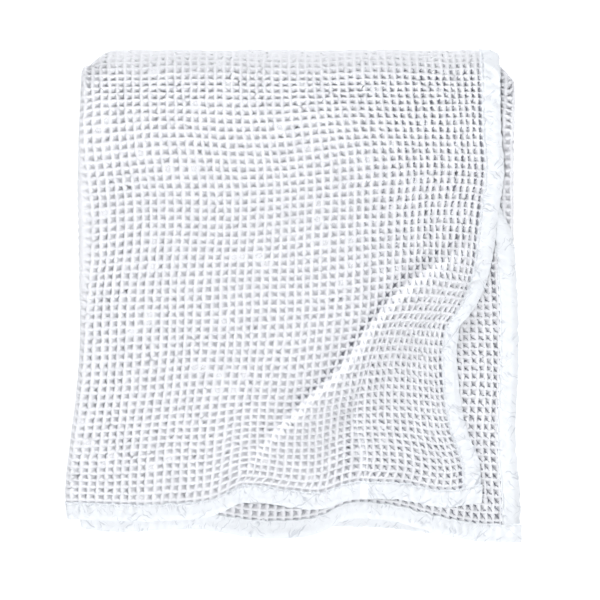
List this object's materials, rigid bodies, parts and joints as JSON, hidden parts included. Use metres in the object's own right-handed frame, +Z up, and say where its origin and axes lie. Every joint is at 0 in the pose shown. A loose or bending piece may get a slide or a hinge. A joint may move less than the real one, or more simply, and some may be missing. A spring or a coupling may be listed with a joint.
{
  "type": "folded waffle weave cotton blanket",
  "caption": "Folded waffle weave cotton blanket with a plain cotton binding, laid flat with its top ply drawn into soft diagonal creases.",
  "frame": {"origin": "middle of the underside of the folded blanket, on the surface it lies on", "axes": "+Z up through the layers, +Y from the hems to the top fold, +X from the folded side to the bound free edges"},
  "size_m": [0.607, 0.656, 0.0539],
  "materials": {
    "waffle_cotton": "washed white cotton in a deep waffle weave, matt",
    "binding_cotton": "washed white plain weave cotton, crinkled, matt"
  },
  "bodies": {
    "root": {"waffle_cloth": "waffle_cotton", "binding_edge_a": "binding_cotton", "binding_edge_b": "binding_cotton", "binding_hem_front": "binding_cotton", "binding_hem_back": "binding_cotton"}
  },
  "joints": []
}
